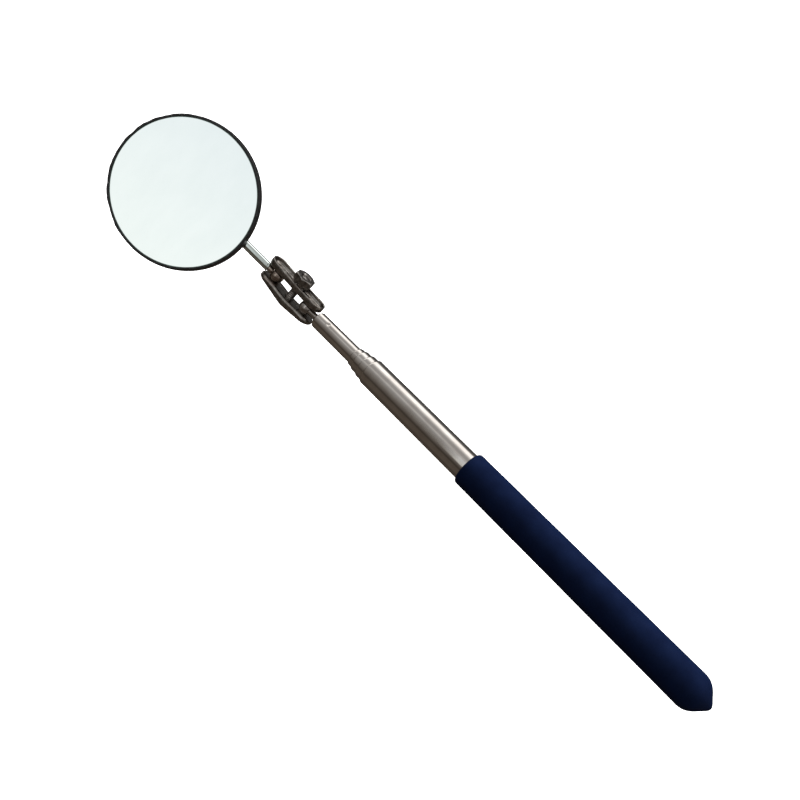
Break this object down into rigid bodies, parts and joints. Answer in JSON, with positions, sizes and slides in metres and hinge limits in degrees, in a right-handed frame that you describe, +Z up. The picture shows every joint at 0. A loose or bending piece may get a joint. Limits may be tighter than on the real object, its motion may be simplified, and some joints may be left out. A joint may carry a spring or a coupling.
{
  "type": "telescoping inspection mirror",
  "caption": "Round inspection mirror on a double ball joint with dished clamp plates, carried by nested telescoping tubes with a closed navy grip.",
  "frame": {"origin": "on the floor under the middle of the object's box, with the tool collapsed and lying on its grip and its mirror rim", "axes": "+X along the tubes from the mirror end to the grip, +Z up"},
  "size_m": [0.283, 0.0508, 0.0511],
  "materials": {
    "navy_vinyl": "matt navy dipped vinyl",
    "nickel_tube": "bright nickel plate",
    "chrome_rod": "bright chrome plate",
    "plated_steel": "tumbled grey-brown plate",
    "brass": "turned",
    "black_case": "black lacquer",
    "mirror": "silvered glass",
    "pad_foam": "foam tape"
  },
  "bodies": {
    "handle": {"grip": "navy_vinyl", "tube_1_outer": "nickel_tube", "outer_tube_end_plug": "plated_steel"},
    "stage_2_bushing": {"bushing_2": "brass"},
    "stage_2_tube": {"tube_2": "nickel_tube"},
    "stage_3_bushing": {"bushing_3": "brass"},
    "stage_3_tube": {"tube_3": "nickel_tube"},
    "stage_4_bushing": {"bushing_4": "brass"},
    "stage_4_tube": {"tube_4": "nickel_tube"},
    "stage_5_bushing": {"bushing_5": "brass"},
    "stage_5_tube": {"tube_5_inner": "nickel_tube", "ball_stud": "plated_steel"},
    "handle_ball": {"handle_ball": "plated_steel"},
    "clamp": {"clamp_plate_front": "plated_steel", "clamp_plate_back": "plated_steel", "clamp_screw": "plated_steel", "clamp_lock_washer": "plated_steel"},
    "nut": {"clamp_nut": "plated_steel"},
    "mirror_ball": {"mirror_ball": "plated_steel"},
    "stem_neck": {"mirror_ball_neck": "plated_steel"},
    "mirror_head": {"mirror_stem": "chrome_rod", "stem_saddle": "plated_steel", "mirror_case": "black_case", "mirror_glass": "mirror", "mirror_pad": "pad_foam"}
  },
  "joints": [
    {"name": "extend_stage_2", "type": "slide", "parent": "handle", "child": "stage_2_bushing", "axis": [-1, 0, 0], "range_m": [0, 0.148]},
    {"name": "turn_tube_2", "type": "hinge", "parent": "stage_2_bushing", "child": "stage_2_tube", "pos_m": [0, 0.01864, 0.00685], "axis": [-1, 0, 0], "continuous": true},
    {"name": "extend_stage_3", "type": "slide", "parent": "stage_2_tube", "child": "stage_3_bushing", "axis": [-1, 0, 0], "range_m": [0, 0.1429]},
    {"name": "turn_tube_3", "type": "hinge", "parent": "stage_3_bushing", "child": "stage_3_tube", "pos_m": [0, 0.01864, 0.00685], "axis": [-1, 0, 0], "continuous": true},
    {"name": "extend_stage_4", "type": "slide", "parent": "stage_3_tube", "child": "stage_4_bushing", "axis": [-1, 0, 0], "range_m": [0, 0.1377]},
    {"name": "turn_tube_4", "type": "hinge", "parent": "stage_4_bushing", "child": "stage_4_tube", "pos_m": [0, 0.01864, 0.00685], "axis": [-1, 0, 0], "continuous": true},
    {"name": "extend_stage_5", "type": "slide", "parent": "stage_4_tube", "child": "stage_5_bushing", "axis": [-1, 0, 0], "range_m": [0, 0.1315]},
    {"name": "turn_tube_5", "type": "hinge", "parent": "stage_5_bushing", "child": "stage_5_tube", "pos_m": [0, 0.01864, 0.00685], "axis": [-1, 0, 0], "continuous": true},
    {"name": "handle_ball_tilt", "type": "hinge", "parent": "stage_5_tube", "child": "handle_ball", "pos_m": [-0.05737, 0.01864, 0.00685], "axis": [0, -0.9385, 0.3453], "range_deg": [-1.8, 16]},
    {"name": "handle_ball_swing", "type": "hinge", "parent": "handle_ball", "child": "clamp", "pos_m": [-0.05737, 0.01864, 0.00685], "axis": [0.1538, 0.3412, 0.9273], "range_deg": [-126, 103]},
    {"name": "nut_turn", "type": "hinge", "parent": "clamp", "child": "nut", "pos_m": [-0.06393, 0.02016, 0.01568], "axis": [0.1538, 0.3412, 0.9273], "range_deg": [-180, 180]},
    {"name": "mirror_ball_swing", "type": "hinge", "parent": "clamp", "child": "mirror_ball", "pos_m": [-0.0744, 0.01621, 0.01057], "axis": [-0.1538, -0.3412, -0.9273], "range_deg": [-102, 127]},
    {"name": "mirror_ball_tilt", "type": "hinge", "parent": "mirror_ball", "child": "stem_neck", "pos_m": [-0.0744, 0.01621, 0.01057], "axis": [0.4082, -0.8766, 0.2548], "range_deg": [-3.3, 5.5]},
    {"name": "mirror_spin", "type": "hinge", "parent": "stem_neck", "child": "mirror_head", "pos_m": [-0.0744, 0.01621, 0.01057], "axis": [-0.8916, -0.3229, 0.3175], "continuous": true}
  ]
}
